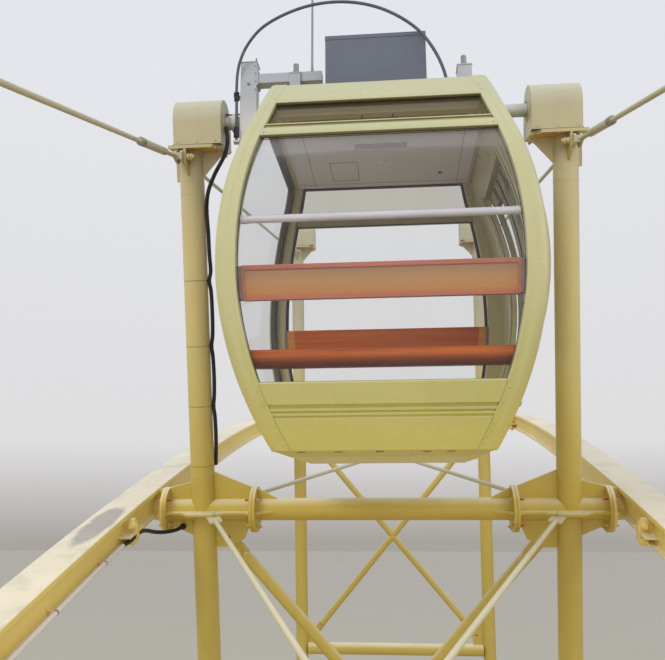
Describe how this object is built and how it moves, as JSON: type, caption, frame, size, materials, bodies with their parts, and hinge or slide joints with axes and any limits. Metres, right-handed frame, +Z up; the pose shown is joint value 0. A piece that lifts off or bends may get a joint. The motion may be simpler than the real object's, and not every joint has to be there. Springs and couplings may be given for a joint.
{
  "type": "ferris wheel cabin in its post frame",
  "caption": "Barrel-shaped glazed passenger cabin hanging on an axle between leaning tube posts, with curved rims, tie rods and crossed bracing of the wheel around it.",
  "frame": {"origin": "centre of the underside of the middle frame's left foot flange, with the post leaning 14.9 degrees", "axes": "+Z up, +X to the right across the wheel, +Y along the wheel from the front frame to the back frame"},
  "size_m": [3.684, 11.9188, 8.7462],
  "materials": {
    "cream_steel": "semi-gloss cream paint with rain grime",
    "lime_shell": "pale lime-yellow gelcoat, satin gloss",
    "white_steel": "off-white grey paint",
    "slate_housing": "slate grey sheet metal",
    "glass": "clear curved pane",
    "orange_seat": "orange-brown glossy seat board",
    "terracotta_back": "terracotta backrest with an ochre face",
    "ceiling_panel": "grey-beige lining",
    "rail_steel": "satin tube",
    "black_rubber": "black hose and cable sheath"
  },
  "bodies": {
    "wheel_frame": {"front_post_left": "cream_steel", "front_post_right": "cream_steel", "front_upper_cross_tube": "cream_steel", "front_lower_cross_tube": "cream_steel", "front_cross_brace": "cream_steel", "middle_post_left": "cream_steel", "middle_post_right": "cream_steel", "middle_upper_cross_tube": "cream_steel", "middle_lower_cross_tube": "cream_steel", "middle_cross_brace": "cream_steel", "back_post_left": "cream_steel", "back_post_right": "cream_steel", "back_upper_cross_tube": "cream_steel", "back_lower_cross_tube": "cream_steel", "back_cross_brace": "cream_steel", "housing_left": "cream_steel", "housing_right": "cream_steel", "rim_left": "cream_steel", "rim_right": "cream_steel", "front_tie_rod_left": "cream_steel", "front_tie_rod_right": "cream_steel", "back_tie_rod_left": "cream_steel", "back_tie_rod_right": "cream_steel", "front_plan_brace": "cream_steel", "back_plan_brace": "cream_steel", "rim_conduit": "white_steel", "rim_hose": "black_rubber", "post_cable": "black_rubber"},
    "cabin": {"front_hoop_left": "lime_shell", "front_hoop_right": "lime_shell", "front_roof_band": "lime_shell", "front_transom": "lime_shell", "front_lower_panel": "lime_shell", "front_window_pane": "glass", "front_bench": "orange_seat", "front_backrest": "terracotta_back", "front_guard_rail": "rail_steel", "back_hoop_left": "lime_shell", "back_hoop_right": "lime_shell", "back_roof_band": "lime_shell", "back_transom": "lime_shell", "back_lower_panel": "lime_shell", "back_window_pane": "glass", "back_bench": "orange_seat", "back_backrest": "terracotta_back", "back_guard_rail": "rail_steel", "roof": "lime_shell", "ceiling": "ceiling_panel", "floor_pan": "lime_shell", "left_wall": "lime_shell", "left_window_pane": "glass", "right_wall": "lime_shell", "hanger_and_axle": "white_steel", "cooling_unit": "slate_housing", "roof_conduit": "black_rubber"},
    "door_leaf_front": {"door_leaf_front": "lime_shell"},
    "door_leaf_back": {"door_leaf_back": "lime_shell"}
  },
  "joints": [
    {"name": "cabin_swing", "type": "hinge", "parent": "wheel_frame", "child": "cabin", "pos_m": [1.287, -1.5698, 5.89973], "axis": [1, 0, 0], "continuous": true},
    {"name": "door_front_slide", "type": "slide", "parent": "cabin", "child": "door_leaf_front", "axis": [0, -1, 0], "range_m": [0, 0.29]},
    {"name": "door_back_slide", "type": "slide", "parent": "cabin", "child": "door_leaf_back", "axis": [0, 1, 0], "range_m": [0, 0.29]}
  ],
  "couplings": [
    {"joint": "door_back_slide", "follows": "door_front_slide", "ratio": 1}
  ]
}
